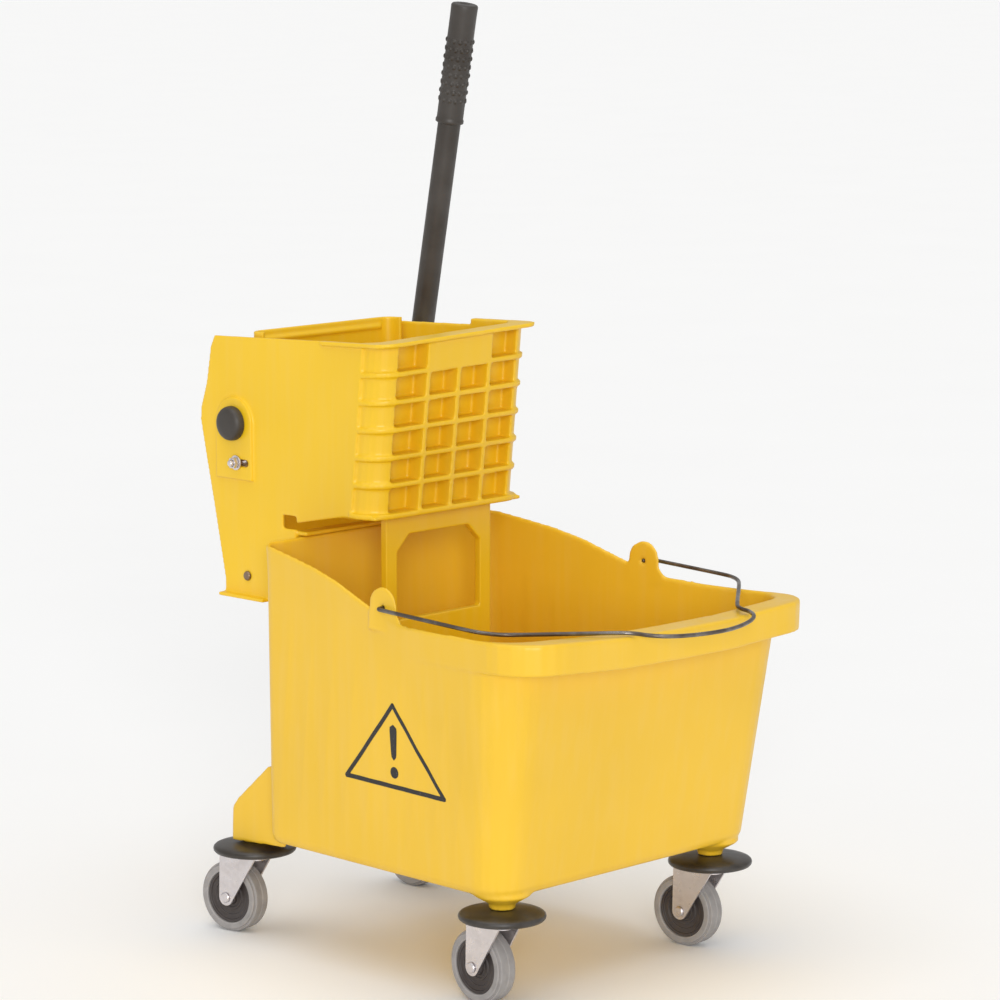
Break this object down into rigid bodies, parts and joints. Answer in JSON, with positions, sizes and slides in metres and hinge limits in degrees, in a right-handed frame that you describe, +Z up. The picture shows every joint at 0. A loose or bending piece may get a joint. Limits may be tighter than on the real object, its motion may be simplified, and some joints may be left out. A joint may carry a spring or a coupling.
{
  "type": "mop bucket with wringer",
  "caption": "Wheeled plastic mop bucket with a lift-off press wringer, a lever that swings a ribbed press plate, a wire bail and swivel casters under round bumpers.",
  "frame": {"origin": "middle of the footprint of the whole object's bounding box, on the floor", "axes": "+Z up, -Y towards the pouring lip, +Y towards the wringer, +X towards the lever"},
  "size_m": [0.438, 0.6398, 0.9878],
  "materials": {
    "yellow_plastic": "satin moulded",
    "dark_plastic": "satin moulded",
    "dark_hub": "satin moulded",
    "bumper_rubber": "smooth",
    "grey_tread": "matt, non-marking",
    "zinc_steel": "zinc plated",
    "bronze_pin": "dull",
    "bail_wire": "drawn wire"
  },
  "bodies": {
    "bucket": {"bucket": "yellow_plastic", "caster_stem_front_left": "zinc_steel", "caster_stem_front_right": "zinc_steel", "caster_stem_rear_left": "zinc_steel", "caster_stem_rear_right": "zinc_steel", "bumper_front_left": "bumper_rubber", "bumper_front_right": "bumper_rubber", "bumper_rear_left": "bumper_rubber", "bumper_rear_right": "bumper_rubber"},
    "bail": {"bail": "bail_wire"},
    "swivel_front_left": {"fork_front_left": "zinc_steel", "axle_front_left": "zinc_steel"},
    "swivel_front_right": {"fork_front_right": "zinc_steel", "axle_front_right": "zinc_steel"},
    "swivel_rear_left": {"fork_rear_left": "zinc_steel", "axle_rear_left": "zinc_steel"},
    "swivel_rear_right": {"fork_rear_right": "zinc_steel", "axle_rear_right": "zinc_steel"},
    "wheel_front_left": {"hub_front_left": "dark_hub", "tyre_front_left": "grey_tread"},
    "wheel_front_right": {"hub_front_right": "dark_hub", "tyre_front_right": "grey_tread"},
    "wheel_rear_left": {"hub_rear_left": "dark_hub", "tyre_rear_left": "grey_tread"},
    "wheel_rear_right": {"hub_rear_right": "dark_hub", "tyre_rear_right": "grey_tread"},
    "wringer": {"wringer_body": "yellow_plastic", "hinge_pin": "bronze_pin", "stop_bolt_left": "zinc_steel", "stop_bolt_right": "zinc_steel", "stop_washer_left": "zinc_steel", "stop_washer_right": "zinc_steel", "stop_nut_left": "zinc_steel", "stop_nut_right": "zinc_steel"},
    "lever": {"cross_shaft": "zinc_steel", "shaft_cap": "dark_plastic", "crank_arm_left": "zinc_steel", "crank_arm_right": "zinc_steel", "crank_pin_left": "zinc_steel", "crank_pin_right": "zinc_steel", "handle_socket": "dark_plastic", "handle_tube": "dark_plastic", "handle_grip": "dark_plastic", "handle_bolt": "zinc_steel"},
    "press": {"press_plate": "yellow_plastic"}
  },
  "joints": [
    {"name": "bail_swing", "type": "hinge", "parent": "bucket", "child": "bail", "pos_m": [0, -0.04609, 0.396], "axis": [-1, 0, 0], "range_deg": [0, 105]},
    {"name": "swivel_front_left", "type": "hinge", "parent": "bucket", "child": "swivel_front_left", "pos_m": [-0.158, -0.17509, 0.085], "axis": [0, 0, 1], "continuous": true},
    {"name": "swivel_front_right", "type": "hinge", "parent": "bucket", "child": "swivel_front_right", "pos_m": [0.158, -0.17509, 0.085], "axis": [0, 0, 1], "continuous": true},
    {"name": "swivel_rear_left", "type": "hinge", "parent": "bucket", "child": "swivel_rear_left", "pos_m": [-0.135, 0.21491, 0.085], "axis": [0, 0, 1], "continuous": true},
    {"name": "swivel_rear_right", "type": "hinge", "parent": "bucket", "child": "swivel_rear_right", "pos_m": [0.135, 0.21491, 0.085], "axis": [0, 0, 1], "continuous": true},
    {"name": "roll_front_left", "type": "hinge", "parent": "swivel_front_left", "child": "wheel_front_left", "pos_m": [-0.15654, -0.14713, 0.0381], "axis": [0.9986, -0.0523, 0], "continuous": true},
    {"name": "roll_front_right", "type": "hinge", "parent": "swivel_front_right", "child": "wheel_front_right", "pos_m": [0.15507, -0.14724, 0.0381], "axis": [0.9945, 0.1045, 0], "continuous": true},
    {"name": "roll_rear_left", "type": "hinge", "parent": "swivel_rear_left", "child": "wheel_rear_left", "pos_m": [-0.1389, 0.24264, 0.0381], "axis": [0.9903, 0.1392, 0], "continuous": true},
    {"name": "roll_rear_right", "type": "hinge", "parent": "swivel_rear_right", "child": "wheel_rear_right", "pos_m": [0.135, 0.24291, 0.0381], "axis": [1, 0, 0], "continuous": true},
    {"name": "wringer_lift", "type": "slide", "parent": "bucket", "child": "wringer", "axis": [0, 0, 1], "range_m": [0, 0.2]},
    {"name": "lever_turn", "type": "hinge", "parent": "wringer", "child": "lever", "pos_m": [0, 0.26391, 0.546], "axis": [-1, 0, 0], "range_deg": [0, 75]},
    {"name": "press_swing", "type": "hinge", "parent": "wringer", "child": "press", "pos_m": [0, 0.24691, 0.3825], "axis": [1, 0, 0], "range_deg": [0, 25]}
  ],
  "couplings": [
    {"joint": "press_swing", "follows": "lever_turn", "ratio": 0.33333}
  ]
}
